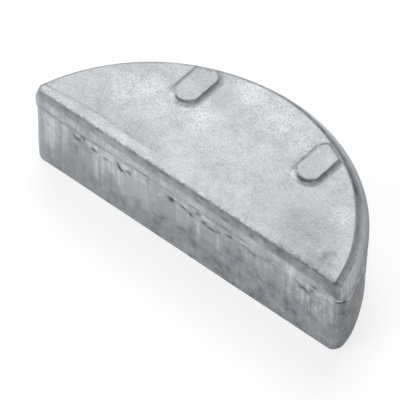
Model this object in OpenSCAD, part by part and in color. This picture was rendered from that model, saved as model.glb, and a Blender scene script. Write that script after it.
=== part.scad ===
// Half-moon flywheel key, die cast in one piece, lying on its plain side.
// X runs along the straight edge, Y from the straight edge to the round one,
// Z up through the thickness. The origin is the middle of the underside.

/* [Outline] */
// Diameter of the round edge at the parting line
key_dia = 19.05; // [16:0.05:24]
// Height from the straight edge to the top of the round edge
key_h = 7.9; // [6:0.02:9]
// Thickness between the two flat sides, without the ribs
key_t = 4.72; // [3.5:0.02:7]

/* [Parting line] */
// Thickness of the upper casting half, from the parting line to the ribbed side
cap_t = 1.2; // [0.8:0.05:2]
// How far the thin flash ridge stands out from the round wall below it
flash_out = 0.08; // [0.02:0.01:0.15]
// Thickness of the flash ridge
flash_t = 0.1; // [0.04:0.01:0.2]

/* [Lower half] */
// How far the round wall leans in between the parting line and the underside
lower_lean = 0.02; // [0:0.01:0.4]
// Radius of the rounded edge around the underside
foot_r = 0.12; // [0.05:0.01:0.4]
// Radius of the upright corners at the two tips
tip_r = 0.5; // [0.3:0.05:1]

/* [Upper half] */
// How far the round wall leans in between the parting line and the ribbed side
cap_lean = 0.15; // [0:0.01:0.5]
// How much smaller the radius of the ribbed side is than that of the parting line
face_in = 0.3; // [0.2:0.01:0.6]
// How far the centre of the ribbed side's round edge lies nearer the straight edge
face_back = 0.62; // [0.4:0.01:0.8]
// Width of the sloping edge around the ribbed side
edge_w = 0.25; // [0.1:0.01:0.4]
// Angle at which that edge slopes down
edge_angle = 45; // [35:1:55]
// How far the straight wall steps back above the parting line
step_back = 0.15; // [0.02:0.01:0.25]
// Height over which the straight wall steps back
step_h = 0.6; // [0.3:0.05:0.75]

/* [Ribs] */
// Width of a rib at its foot
rib_w = 1.49; // [1:0.01:2]
// Width of the flat top of a rib
rib_top_w = 1.28; // [0.6:0.01:1.6]
// Height of a rib above the flat side
rib_h = 0.22; // [0.1:0.01:0.4]
// Distance from the middle of the key to the middle of the left rib
rib_left = 3.43; // [2:0.01:4.5]
// Distance from the middle of the key to the middle of the right rib
rib_right = 3.86; // [2:0.01:4.5]
// Distance from the straight wall to the rounded inner end of a rib
rib_start = 3.54; // [2:0.01:4.5]
// Length of a rib from its inner end to its outer end
rib_len = 2.66; // [2:0.02:4]
// How much larger the radius of a rib's rounded ends is than half its width
rib_end_ease = 0.105; // [0.05:0.005:0.4]

/* [Hidden] */
$fn = 128;

// Steps in each rounded underside edge
foot_steps = 6;
// Share of its radius at which a tip corner sits from the walls, so that it
// crosses each wall at a small angle
tip_seat = 0.985;
// Depth to which the ribs run down into the body
rib_root = 0.3;
// Reach of cutting shapes past the solid they cut
past = 1;

key_r = key_dia / 2;
wall_r = key_r - flash_out;
// Straight wall of the lower half, measured from the centre of the round edge
wall_y = key_r - key_h;
// Straight wall of the upper half
cap_wall_y = wall_y + step_back;
mid_y = (wall_y + key_r) / 2;
part_z = key_t - cap_t;
foot_wall_r = wall_r - lower_lean;
face_r = key_r - face_in;
rib_end_r = rib_w / 2 + rib_end_ease;
rib_slope = (rib_w - rib_top_w) / 2 / rib_h;

// Points on a quarter of a circle, from angle a to a + 90
function quarter(centre, r, a) =
    [for (i = [0:foot_steps])
        centre + r * [cos(a + 90 * i / foot_steps), sin(a + 90 * i / foot_steps)]];

// Round wall of both halves with its flash ridge, as a turned form
module round_form() {
    rotate_extrude()
        polygon(concat(
            [[0, 0]],
            quarter([foot_wall_r - foot_r, foot_r], foot_r, -90),
            [
                [wall_r, part_z - flash_t],
                [key_r, part_z - flash_t / 2],
                [key_r, part_z],
                [wall_r, part_z + flash_t / 2],
                [wall_r - cap_lean, key_t],
                [0, key_t]
            ]));
}

// Everything behind the straight wall, as a profile drawn along the key
module straight_form() {
    rotate([90, 0, 90])
        translate([0, 0, -key_r - past])
            linear_extrude(2 * (key_r + past))
                polygon(concat(
                    quarter([wall_y + foot_r, foot_r], foot_r, 180),
                    [
                        [key_r + past, 0],
                        [key_r + past, key_t],
                        [cap_wall_y, key_t],
                        [cap_wall_y, part_z + step_h],
                        [wall_y, part_z]
                    ]));
}

// Sloping edge around the ribbed side and the leaning wall below it, as a turned
// form. The edge runs on upward to trim the ribs, and the wall comes down to the
// round wall just above the flash ridge at the crown.
module face_edge_form() {
    rise = rib_h + past;
    edge_z = key_t - edge_w * tan(edge_angle);
    lean_out = wall_r + face_back - face_r - edge_w;
    lean_down = edge_z - part_z - 2 * flash_t;
    translate([0, -face_back, 0])
        rotate_extrude()
            polygon([
                [0, 0],
                [face_r + edge_w + edge_z * lean_out / lean_down, 0],
                [face_r + edge_w, edge_z],
                [face_r - rise / tan(edge_angle), key_t + rise],
                [0, key_t + rise]
            ]);
}

// Rounded end of a rib, as a cone with the slope of the rib's sides
module rib_end() {
    cylinder(
        h = rib_root + rib_h,
        r1 = rib_end_r + rib_slope * rib_root,
        r2 = rib_end_r - rib_slope * rib_h);
}

// Raised rib across the flat side, with rounded ends
module rib(x) {
    base = key_t - rib_root;
    run = key_r + past;
    inner_y = cap_wall_y + rib_start + rib_end_r;
    outer_y = cap_wall_y + rib_start + rib_len - rib_end_r;
    intersection() {
        translate([x, run, 0])
            rotate([90, 0, 0])
                linear_extrude(run)
                    polygon([
                        [-rib_w / 2, base],
                        [rib_w / 2, base],
                        [rib_w / 2, key_t],
                        [rib_top_w / 2, key_t + rib_h],
                        [-rib_top_w / 2, key_t + rib_h],
                        [-rib_w / 2, key_t]
                    ]);
        union() {
            translate([x, inner_y, base]) rib_end();
            translate([x, outer_y, base]) rib_end();
            translate([x - rib_w, inner_y, base])
                cube([2 * rib_w, outer_y - inner_y, rib_root + rib_h]);
        }
    }
}

// What is cut from one tip to round its upright corner
module tip_cut() {
    seat = tip_r * tip_seat;
    y = wall_y + seat;
    x = sqrt(pow(key_r - seat, 2) - y * y);
    reach = [x, y] / norm([x, y]) * (tip_r + past);
    translate([x, y, 0])
        difference() {
            translate([0, 0, -past])
                linear_extrude(key_t + rib_h + 2 * past)
                    polygon([
                        [0, 0],
                        [0, -tip_r - past],
                        [reach.x, -tip_r - past],
                        reach
                    ]);
            translate([0, 0, -2 * past])
                cylinder(h = key_t + rib_h + 4 * past, r = tip_r);
        }
}

module flywheel_key() {
    color([0.76, 0.77, 0.78])
        translate([0, -mid_y, 0])
            difference() {
                intersection() {
                    union() {
                        intersection() {
                            round_form();
                            straight_form();
                        }
                        rib(-rib_left);
                        rib(rib_right);
                    }
                    face_edge_form();
                }
                tip_cut();
                mirror([1, 0, 0]) tip_cut();
            }
}

flywheel_key();
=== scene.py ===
"""Looks of a die-cast half-moon flywheel key, lying on its plain side in a pale studio.

The casting is modelled in millimetres in the part's own frame: X along the straight
wall, Y towards the round wall, Z up to the ribbed side. It is brought to metres last.
"""

import logging
import math
from collections.abc import Callable
from dataclasses import dataclass, field
from enum import Enum

import bmesh
import bpy
import numpy as np
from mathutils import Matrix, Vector


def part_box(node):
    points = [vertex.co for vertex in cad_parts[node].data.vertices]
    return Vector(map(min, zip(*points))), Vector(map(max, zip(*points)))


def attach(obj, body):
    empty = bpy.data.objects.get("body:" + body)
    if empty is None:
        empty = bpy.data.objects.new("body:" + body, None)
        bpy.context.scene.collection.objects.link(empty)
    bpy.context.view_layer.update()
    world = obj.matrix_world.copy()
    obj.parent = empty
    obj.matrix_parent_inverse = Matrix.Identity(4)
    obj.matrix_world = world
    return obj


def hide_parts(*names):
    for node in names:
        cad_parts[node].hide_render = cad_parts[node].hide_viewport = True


log = logging.getLogger("flywheel_key")
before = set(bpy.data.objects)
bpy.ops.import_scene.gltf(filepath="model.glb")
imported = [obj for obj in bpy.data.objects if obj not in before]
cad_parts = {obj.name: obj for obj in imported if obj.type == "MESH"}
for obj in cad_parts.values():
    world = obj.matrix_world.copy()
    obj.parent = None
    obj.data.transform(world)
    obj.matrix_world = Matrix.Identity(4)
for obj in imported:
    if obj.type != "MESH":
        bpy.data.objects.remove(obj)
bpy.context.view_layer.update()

MM = 0.001
NODE = "flywheel_key"
Array = np.ndarray
Socket = bpy.types.NodeSocket
Triple = tuple[float, float, float]
# How near to a level a point counts as on it, in millimetres
NEAR = 0.001
# Span that a noise pattern mostly keeps to
NOISE_SPAN = (0.3, 0.7)


class MarkKind(Enum):
    """What one casting mark does to the skin."""

    LUMP = 1.0
    PIT = -1.0


class Trait(Enum):
    """Surface values that the casting carries for its finish, and for light and shade painted on
    it.
    """

    # Paler: the casting's own paler marks, and painted highlights and light.
    WEAR_AND_LIGHT = "wear_and_light"
    # Darker: the casting's own darker marks, and painted shade.
    GRIME_AND_SHADE = "grime_and_shade"
    STAIN = "stain"
    # Where the parting line's lip gets a painted highlight and a painted shadow under it.
    LIP_LIGHT_AND_SHADOW = "lip"
    LEVEL = "level"
    SMOOTH = "smooth"


class Pattern(Enum):
    """Random patterns: distance between neighbouring values, seed and layers."""

    WAVES = (2.2, 11, 2)
    FINE_WAVES = (0.45, 21, 2)
    POCKS = (0.24, 31, 2)
    GROOVE_PLACE = (1.7, 41, 1)
    GROOVE_GAPS = (2.6, 43, 1)
    STRIP_CLOUDS = (0.6, 47, 3)
    WARM_SPOTS = (0.4, 49, 3)
    CHORD = (0.2, 51, 2)
    CHORD_SPECKS = (0.13, 53, 2)
    BAND_FADE = (0.9, 61, 1)
    BAND_EDGE = (0.7, 63, 2)
    STEP_CLOUDS = (0.5, 65, 3)
    LINE_WANDER = (0.7, 71, 3)
    LINE_POCKS = (0.35, 75, 3)
    LINE_STAIN = (0.2, 77, 2)
    LINE_DEPTH = (0.6, 79, 1)
    DRAG = (0.3, 81, 3)
    DRAG_PLACE = (0.8, 83, 1)
    DRAG_ENDS = (0.12, 84, 2)
    SHADE_DEPTH = (0.8, 85, 1)
    SOIL_CLOUDS = (0.9, 87, 3)
    ROUND_CLOUDS = (1.1, 91, 3)
    LIP_GAPS = (0.35, 93, 1)
    MARK_RIM = (0.25, 101, 2)
    MARK_BEND = (0.3, 111, 2)
    PATCH_RIM = (0.7, 201, 3)


# Editing helpers


def deselect_all() -> None:
    """Leaves no object selected or active."""
    bpy.ops.object.select_all(action="DESELECT")
    bpy.context.view_layer.objects.active = None


def add_disc(steps: int, radius: float, place: Triple) -> bpy.types.Object:
    """Adds a flat disc and opens it for editing.

    Args:
        steps: How many sides it has.
        radius: Its radius.
        place: Its middle.

    Returns:
        The disc's object, in edit mode.
    """
    bpy.ops.mesh.primitive_circle_add(
        vertices=steps, radius=radius, fill_type="NGON", location=place
    )
    bpy.ops.object.transform_apply(location=True, rotation=False, scale=False)
    bpy.ops.object.mode_set(mode="EDIT")
    bpy.ops.mesh.select_all(action="SELECT")
    return bpy.context.object


def turn_outward() -> None:
    """Turns all faces of the mesh in edit mode outward."""
    bpy.ops.mesh.select_all(action="SELECT")
    bpy.ops.mesh.normals_make_consistent(inside=False)


def select_where(obj: bpy.types.Object, mode: str, test: Callable[[list[Vector]], bool]) -> None:
    """Selects the vertices, edges or faces in edit mode that pass a test.

    Args:
        obj: The mesh object, in edit mode.
        mode: VERT, EDGE or FACE.
        test: Given the element's corner points, says whether it is selected.
    """
    bpy.ops.mesh.select_mode(type=mode)
    bpy.ops.mesh.select_all(action="DESELECT")
    bm = bmesh.from_edit_mesh(obj.data)
    parts = {"VERT": bm.verts, "EDGE": bm.edges, "FACE": bm.faces}[mode]
    for part in parts:
        corners = [part.co] if mode == "VERT" else [v.co for v in part.verts]
        if test(corners):
            part.select_set(True)
    bm.select_flush_mode()
    bmesh.update_edit_mesh(obj.data)


def slice_mesh(point: Vector, normal: Vector, clear: bool = False) -> None:
    """Cuts the whole mesh in edit mode along a plane.

    Args:
        point: A point on the plane.
        normal: The plane's normal.
        clear: Whether what lies beyond the plane is removed and the cut closed.
    """
    bpy.ops.mesh.select_mode(type="FACE")
    bpy.ops.mesh.select_all(action="SELECT")
    bpy.ops.mesh.bisect(plane_co=point, plane_no=normal, use_fill=clear, clear_outer=clear)


# Surface patterns


def smooth_step(low: float | Array, high: float | Array, value: Array) -> Array:
    """Rises smoothly from 0 at low to 1 at high."""
    t = np.clip((value - low) / (high - low), 0.0, 1.0)
    return t * t * (3.0 - 2.0 * t)


def window(rise: tuple, fall: tuple, value: Array) -> Array:
    """Rises smoothly from 0 to 1 over one span and falls back over a later one."""
    return smooth_step(*rise, value) * (1 - smooth_step(*fall, value))


def bell(distance: Array, width: float | Array) -> Array:
    """A soft bump of height 1 where the distance is 0, that fades over the width."""
    return np.exp(-((distance / width) ** 2))


def grain(points: Array, size: float, seed: int) -> Array:
    """Smooth random relief in space.

    Args:
        points: Points, one a row.
        size: Distance between neighbouring random values.
        seed: Picks the pattern.

    Returns:
        One value from -1 to 1 for each point.
    """
    cell = np.floor(points / size).astype(np.int64)
    part = points / size - cell
    ease = part * part * (3.0 - 2.0 * part)
    total = np.zeros(len(points))
    for corner in np.ndindex(2, 2, 2):
        x, y, z = (cell + corner).T
        key = (x * 73856093 ^ y * 19349663 ^ z * 83492791 ^ seed * 9781) & 0xFFFFFFFF
        key = ((key ^ (key >> 15)) * 2246822519) & 0xFFFFFFFF
        key = ((key ^ (key >> 13)) * 3266489917) & 0xFFFFFFFF
        value = (key ^ (key >> 16)) / 2147483648.0 - 1.0
        total += value * np.where(corner, ease, 1.0 - ease).prod(axis=1)
    return total


def rough(points: Array, size: float, seed: int, layers: int) -> Array:
    """Layered random relief.

    Args:
        points: Points, one a row.
        size: Distance between neighbouring random values of the first layer.
        seed: Picks the pattern.
        layers: How many layers there are, each half as large and strong.

    Returns:
        One value from about -1 to 1 for each point.
    """
    total = np.zeros(len(points))
    for layer in range(layers):
        total += grain(points, size / 2**layer, seed + layer) / 2**layer
    return total / (2.0 - 0.5 ** (layers - 1))


# The casting


@dataclass(frozen=True)
class Ring:
    """One level of the round wall.

    Attributes:
        z: Height of the level.
        radius: Radius of the round wall there.
        back: How far the level's centre lies nearer the straight wall.
    """

    z: float
    radius: float
    back: float = 0.0


@dataclass(frozen=True)
class Swell:
    """A stretch along the round edge that stands out a little.

    Attributes:
        angle: Its middle, in degrees from the right around the ribbed side's centre.
        spread: How far it reaches each way, in degrees.
        rise: How far it stands out.
    """

    angle: float
    spread: float
    rise: float

    def at(self, angles: Array, share: float | Array = 1.0) -> Array:
        """How far the edge stands out at some angles, where only a share of it counts."""
        return self.rise * share * bell(angles - self.angle, self.spread)


@dataclass(frozen=True)
class Spot:
    """A round spot, seen from above, that fades towards its rim."""

    x: float
    y: float
    reach: float

    def at(self, x: Array, y: Array) -> Array:
        """How strong the spot is at some places, from 0 to 1."""
        return bell(np.hypot(x - self.x, y - self.y), self.reach)


@dataclass(frozen=True)
class Lean:
    """Leaning faces around one tip that draw it in above or below a height.

    Attributes:
        side: -1 for the left tip, 1 for the right one.
        start_z: Height from which the tip is drawn in.
        slope: How far for each unit of height above it, or below it where less than 0.
    """

    side: float
    start_z: float
    slope: float


@dataclass
class CastingHalf:
    """One half of the casting, below or above the parting line.

    Attributes:
        centre_y: Centre of the round wall.
        wall_y: Place of the straight wall.
        radius: Largest radius of the round wall.
        tip_rounds: Radii of the upright corners at the left tip and the right one.
        rings: Levels of the round wall, from the bottom up.
        leans: Leaning faces that draw the tips in.
        round_steps: Flat faces around the whole round wall.
        tip_steps: Flat faces around one tip's corner.
        tip_seat: Share of its radius at which a corner sits from the walls.
    """

    centre_y: float
    wall_y: float
    radius: float
    tip_rounds: tuple[float, float]
    rings: list[Ring]
    leans: list[Lean] = field(default_factory=list)
    round_steps: int = 360
    tip_steps: int = 14
    tip_seat: float = 0.985

    def build(self, name: str) -> bpy.types.Object:
        """Models the half and leaves it in edit mode.

        Args:
            name: Name of the object.

        Returns:
            The half's object, in millimetres.
        """
        half = self.raise_disc()
        half.name = name
        slice_mesh(Vector((0, self.wall_y, 0)), Vector((0, -1, 0)), clear=True)
        for side in (-1.0, 1.0):
            self.round_tip(side)
        return half

    def raise_disc(self) -> bpy.types.Object:
        """Raises a disc level by level into the half's full round form.

        Returns:
            The disc's object, in edit mode.
        """
        first = self.rings[0]
        place = (0, self.centre_y - first.back, first.z)
        disc = add_disc(self.round_steps, first.radius, place)
        for below, ring in zip(self.rings, self.rings[1:]):
            shift = (0, below.back - ring.back, ring.z - below.z)
            bpy.ops.mesh.extrude_region_move(TRANSFORM_OT_translate={"value": shift})
            scale = ring.radius / below.radius
            centre = (0, self.centre_y - ring.back, ring.z)
            bpy.ops.transform.resize(value=(scale, scale, 1), center_override=centre)
        turn_outward()
        return disc

    def round_tip(self, side: float) -> None:
        """Rounds one upright corner by flat cuts around it.

        Args:
            side: -1 for the left tip, 1 for the right one.
        """
        left, right = self.tip_rounds
        radius = right if side > 0 else left
        seat = radius * self.tip_seat
        up = self.wall_y - self.centre_y + seat
        out = math.sqrt((self.radius - seat) ** 2 - up**2)
        first = -math.pi / 2
        last = math.atan2(up, out)
        for step in range(self.tip_steps):
            angle = first + (last - first) * (step + 0.5) / self.tip_steps
            away = Vector((side * math.cos(angle), math.sin(angle), 0))
            middle = Vector((side * out, self.centre_y + up, 0))
            slice_mesh(middle + away * radius, away, clear=True)
            for lean in self.leans:
                if lean.side != side:
                    continue
                point = middle + away * radius + Vector((0, 0, lean.start_z))
                tilt = away + Vector((0, 0, lean.slope * math.cos(angle) ** 2))
                slice_mesh(point, tilt.normalized(), clear=True)


@dataclass
class Rib:
    """One raised rib across the ribbed side, in millimetres.

    Its sloping foot rises by ledge_height to ledge_width, and its steep side rises from there
    to top_width. The foot starts at a distance from the straight wall and has rounded ends,
    and the corner that carries a painted glint lies left of the middle and in from the start.
    """

    x: float
    width: float = 1.52
    ledge_width: float = 1.29
    top_width: float = 1.27
    height: float = 0.208
    start: float = 3.54
    length: float = 2.66
    end_radius: float = 0.85
    end_steps: int = 96
    root: float = 0.3
    ledge_height: float = 0.09
    edge_round: float = 0.03
    glint_left: float = 0.5
    glint_in: float = 0.14

    def build(self, wall_y: float, face_z: float) -> bpy.types.Object:
        """Models the rib from a disc that is trimmed, stretched and raised.

        Args:
            wall_y: Place of the straight wall that the rib is measured from.
            face_z: Height of the flat side that it stands on.

        Returns:
            The rib's object, in millimetres.
        """
        inner_y = wall_y + self.start + self.end_radius
        rib = add_disc(self.end_steps, self.end_radius, (self.x, inner_y, face_z - self.root))
        rib.name = f"rib_{self.x:.0f}"
        for side in (-1.0, 1.0):
            edge = Vector((self.x + side * self.width / 2, 0, 0))
            bpy.ops.mesh.select_all(action="SELECT")
            bpy.ops.mesh.bisect(plane_co=edge, plane_no=(side, 0, 0), clear_outer=True)
        stretch = self.length - 2 * self.end_radius
        select_where(rib, "VERT", lambda c: c[0].y > inner_y)
        bpy.ops.transform.translate(value=(0, stretch, 0))
        bpy.ops.mesh.select_all(action="SELECT")
        bpy.ops.mesh.extrude_region_move(TRANSFORM_OT_translate={"value": (0, 0, self.root)})
        middle = (self.x, inner_y + stretch / 2, face_z)
        self.raise_to(self.ledge_height, self.width, self.ledge_width, middle)
        rest = self.height - self.ledge_height
        self.raise_to(rest, self.ledge_width, self.top_width, middle)
        top_z = face_z + self.height
        select_where(rib, "EDGE", lambda c: all(p.z > top_z - NEAR for p in c))
        bpy.ops.mesh.bevel(offset=self.edge_round, segments=3, affect="EDGES")
        turn_outward()
        bpy.ops.object.mode_set(mode="OBJECT")
        return rib

    def raise_to(self, rise: float, width: float, end_width: float, middle: Triple) -> None:
        """Raises the rib's top one step and draws it in on all sides alike.

        Args:
            rise: Height of the step.
            width: The rib's width below the step.
            end_width: Its width above the step.
            middle: Point that the top is drawn in to.
        """
        bpy.ops.mesh.extrude_region_move(TRANSFORM_OT_translate={"value": (0, 0, rise)})
        length = self.length - self.width + width
        narrow = (end_width / width, 1 - (width - end_width) / length, 1)
        bpy.ops.transform.resize(value=narrow, center_override=middle)

    def foot_distance(self, x: Array, y: Array, wall_y: float) -> Array:
        """Measures how far places on the flat side lie from the rib's foot.

        Args:
            x: The places along the key.
            y: The places across the key.
            wall_y: Place of the straight wall that the rib is measured from.

        Returns:
            The distances, less than 0 inside the foot.
        """
        inner_y = wall_y + self.start + self.end_radius
        outer_y = inner_y + self.length - 2 * self.end_radius
        across = np.abs(x - self.x)
        along = y - np.clip(y, inner_y, outer_y)
        return np.maximum(across - self.width / 2, np.hypot(across, along) - self.end_radius)


@dataclass(frozen=True)
class Mark:
    """A lump or pit on the straight wall.

    Attributes:
        x: Place along the wall.
        z: Height on the wall.
        width: Half width along the wall.
        height: Half height.
        depth: How far it stands out or sinks in.
        kind: Lump or pit.
        lean: How far it leans along the wall for each unit of height.
    """

    x: float
    z: float
    width: float
    height: float
    depth: float
    kind: MarkKind
    lean: float = 0.0


@dataclass(frozen=True)
class Streak:
    """A bright drag mark down the straight wall, left as the casting was drawn.

    Attributes:
        x: Place along the wall.
        top: Height at which it starts.
        bottom: Height at which it fades out.
        width: Half width along the wall.
        strength: How bright it is, up to 1, or how dark where it is less than 0.
        taper: How much of its width it loses on the way down.
    """

    x: float
    top: float
    bottom: float
    width: float
    strength: float
    taper: float = 0.3


@dataclass(frozen=True)
class Patch:
    """A cloudy patch of the ribbed side.

    Attributes:
        x: Place along the key.
        y: Place across the key.
        reach: How far it spreads.
        tone: How pale it is, or how dull where it is less than 0.
    """

    x: float
    y: float
    reach: float
    tone: float


@dataclass
class KeyCasting:
    """The key's one casting, in millimetres.

    Attributes:
        low: Lowest corner of the part's box.
        high: Highest corner of the part's box.
        marks: Lumps and pits of the straight wall.
        streaks: Drag marks of the straight wall.
        patches: Cloudy patches of the ribbed side.
    """

    low: Vector
    high: Vector
    marks: list[Mark]
    streaks: list[Streak]
    patches: list[Patch]
    ribs: list[Rib] = field(default_factory=lambda: [Rib(-3.43), Rib(3.86)])
    # The key's circle, and heights of the ribs and of the upper half
    key_radius: float = 9.525
    rib_height: float = 0.22
    cap_thickness: float = 1.2
    # How far the walls lie inside that circle or the part's box, and lean in
    skin_room: float = 0.012
    lower_in: float = 0.08
    lower_lean: float = 0.02
    lower_wall_in: float = 0.05
    foot_round: float = 0.12
    # How much smaller the ribbed side's circle is, how far its centre lies nearer the
    # straight wall, and the width and hollow of the sloping edge around it
    face_in: float = 0.3
    face_back: float = 0.62
    edge_width: float = 0.25
    edge_hollow: float = 0.045
    # The upper half's upright strip, lower edge and overlap with the lower half
    cap_upright: float = 0.16
    cap_round: float = 0.06
    cap_overlap: float = 0.02
    # The step of the straight wall, and its drop for each unit along the wall
    step_back: float = 0.15
    step_height: float = 0.54
    step_slant: float = 0.01
    # Radii of the corners at the left and right tips, and depths and slopes of the
    # faces that draw the corners in
    lower_tips: tuple[float, float] = (0.64, 0.54)
    cap_tips: tuple[float, float] = (0.60, 0.50)
    foot_leans: tuple = ((0.6, -0.12), (0.3, -0.4))
    cap_lean: tuple[float, float] = (0.75, 0.36)
    # Rise of the parting line on the straight wall, and its dip beside the right tip
    line_lift: float = 0.12
    line_dip: float = 0.36
    # How far the ribbed side's edge stands out, and its stretches that do so further
    edge_off: float = 0.09
    edge_swells: tuple[Swell, ...] = (Swell(53, 10, 0.05), Swell(88, 14, 0.07))
    # Stretches of the round wall that stand out at a height or lie in near the foot
    wall_bulge: Swell = Swell(42, 16, 0.055)
    bulge_z: float = 2.5
    foot_hollow: Swell = Swell(34, 10, 0.02)
    # Painted light on the upper wall, a darker dot on the ribbed side's corner at the right tip,
    # and nicks in the parting line's lip
    lit_spot: Spot = Spot(8.9, -2.7, 1.0)
    dull_spot: Spot = Spot(8.92, -3.83, 0.1)
    flash_nicks: tuple[Spot, ...] = (Spot(8.95, -2.25, 0.12), Spot(9.2, -3.45, 0.12))
    # Size of the fused skin's faces, and the most triangles that are kept
    voxel: float = 0.055
    most_triangles: int = 196000

    def __post_init__(self) -> None:
        """Works out the places that the sizes share."""
        self.centre_y = self.high.y - self.key_radius
        self.face_z = self.high.z - self.rib_height
        self.part_z = self.face_z - self.cap_thickness
        self.face_radius = self.key_radius - self.face_in
        self.face_centre_y = self.centre_y - self.face_back
        self.wall_y = self.low.y + self.lower_wall_in
        self.cap_wall_y = self.low.y + self.step_back

    def step_z(self, x: float | Array) -> float | Array:
        """Height at which the straight wall has stepped back, for a place along it."""
        return self.part_z + self.step_height - self.step_slant * x

    def build(self) -> bpy.types.Object:
        """Models the casting and gives it its surface relief.

        Returns:
            The finished object, in metres, at the part's own place.
        """
        parts = [self.lower_half(), self.upper_half()]
        for rib in self.ribs:
            shape = rib.build(self.cap_wall_y, self.face_z)
            self.trim_to_edge(shape)
            parts.append(shape)
            log.info("%s: %d faces", shape.name, len(shape.data.polygons))
        casting = self.fuse(parts)
        relief = Relief(self, casting.data)
        relief.shape()
        relief.store(casting.data)
        self.thin(casting, relief.plain_share())
        self.to_metres(casting)
        return casting

    def lower_half(self) -> bpy.types.Object:
        """Models the half below the parting line, with a rounded foot.

        Returns:
            The half's object.
        """
        radius = self.key_radius - self.lower_in
        top_z = self.part_z + self.cap_overlap
        rings = [Ring(0.0, radius - self.lower_lean), Ring(top_z, radius)]
        leans = [Lean(side, *lean) for side in (-1.0, 1.0) for lean in self.foot_leans]
        shape = CastingHalf(self.centre_y, self.wall_y, radius, self.lower_tips, rings, leans)
        half = shape.build("lower_half")
        select_where(half, "EDGE", lambda c: all(p.z < NEAR for p in c))
        self.round_selected(self.foot_round, 5)
        log.info("lower half: %d faces", len(half.data.polygons))
        return half

    def upper_half(self) -> bpy.types.Object:
        """Models the half above the parting line, with its hollow sloping edge.

        Returns:
            The half's object.
        """
        radius = self.key_radius - self.skin_room
        face = self.face_radius
        hollow = self.edge_hollow
        middle = self.edge_width / 2
        rings = [
            Ring(self.part_z, radius),
            Ring(self.part_z + self.cap_upright, radius),
            Ring(self.face_z - self.edge_width, face + self.edge_width, self.face_back),
            Ring(self.face_z - middle - hollow, face + middle - hollow, self.face_back),
            Ring(self.face_z, face, self.face_back),
        ]
        depth, slope = self.cap_lean
        leans = [Lean(-1.0, self.face_z - depth, slope)]
        shape = CastingHalf(self.centre_y, self.wall_y, radius, self.cap_tips, rings, leans)
        half = shape.build("upper_half")
        slice_mesh(Vector((0, 0, self.step_z(0))), Vector((self.step_slant, 0, 1)))
        self.set_back(half)
        bottom = self.part_z + NEAR
        select_where(half, "EDGE", lambda c: all(p.z < bottom for p in c))
        self.round_selected(self.cap_round, 3)
        log.info("upper half: %d faces", len(half.data.polygons))
        return half

    def set_back(self, half: bpy.types.Object) -> None:
        """Sets the straight wall back above its step, and the tips' corners less and less.

        Args:
            half: The upper half's object, in edit mode.
        """
        bm = bmesh.from_edit_mesh(half.data)
        for vertex in bm.verts:
            if vertex.co.z > self.step_z(vertex.co.x) - NEAR:
                share = 1 - (vertex.co.y - self.wall_y) / max(self.cap_tips)
                vertex.co.y += (self.cap_wall_y - self.wall_y) * min(max(share, 0.0), 1.0)
        bmesh.update_edit_mesh(half.data)

    def round_selected(self, radius: float, steps: int) -> None:
        """Rounds the selected edges and leaves edit mode.

        Args:
            radius: Radius of the rounding.
            steps: How many faces it has across.
        """
        bpy.ops.mesh.bevel(offset=radius, segments=steps, affect="EDGES", clamp_overlap=False)
        turn_outward()
        bpy.ops.object.mode_set(mode="OBJECT")

    def trim_to_edge(self, shape: bpy.types.Object) -> None:
        """Draws a rib's outer end back onto the sloping edge around the ribbed side.

        Args:
            shape: The rib's object.
        """
        middle = Vector((0, self.face_centre_y))
        for vertex in shape.data.vertices:
            limit = self.face_radius - max(vertex.co.z - self.face_z, 0.0)
            away = vertex.co.xy - middle
            if away.length > limit:
                vertex.co.xy = middle + away * limit / away.length

    def fuse(self, parts: list[bpy.types.Object]) -> bpy.types.Object:
        """Joins the halves and ribs into one closed skin of even small faces.

        Args:
            parts: Their objects, which overlap.

        Returns:
            The casting's object.
        """
        deselect_all()
        for part in parts:
            part.select_set(True)
        casting = parts[0]
        bpy.context.view_layer.objects.active = casting
        bpy.ops.object.join()
        skin = casting.modifiers.new("even_skin", "REMESH")
        skin.mode = "VOXEL"
        skin.voxel_size = self.voxel
        bpy.ops.object.modifier_apply(modifier=skin.name)
        casting.name = "flywheel_key_casting"
        casting.data.name = casting.name
        log.info("fused skin: %d faces", len(casting.data.polygons))
        return casting

    def thin(self, casting: bpy.types.Object, plain_share: Array) -> None:
        """Takes faces out of the plain stretches until the mesh is light enough.

        Args:
            casting: The fused casting.
            plain_share: For each vertex, from 0 to 1, how plain the surface is there.
        """
        triangles = 2 * len(casting.data.polygons)
        if triangles <= self.most_triangles:
            return
        group = casting.vertex_groups.new(name="plain")
        for index in np.flatnonzero(plain_share > 0.5).tolist():
            group.add([index], 1.0, "REPLACE")
        thinner = casting.modifiers.new("thinner", "DECIMATE")
        thinner.ratio = self.most_triangles / triangles
        thinner.vertex_group = group.name
        thinner.vertex_group_factor = 100.0
        bpy.ops.object.modifier_apply(modifier=thinner.name)
        casting.vertex_groups.clear()
        log.info("thinned skin: %d faces", len(casting.data.polygons))

    def to_metres(self, casting: bpy.types.Object) -> None:
        """Brings the finished mesh to metres and smooths its shading.

        Args:
            casting: The casting's object, in millimetres.
        """
        deselect_all()
        casting.select_set(True)
        bpy.context.view_layer.objects.active = casting
        casting.scale = (MM, MM, MM)
        bpy.ops.object.transform_apply(location=False, rotation=False, scale=True)
        bpy.ops.object.shade_smooth()


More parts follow.
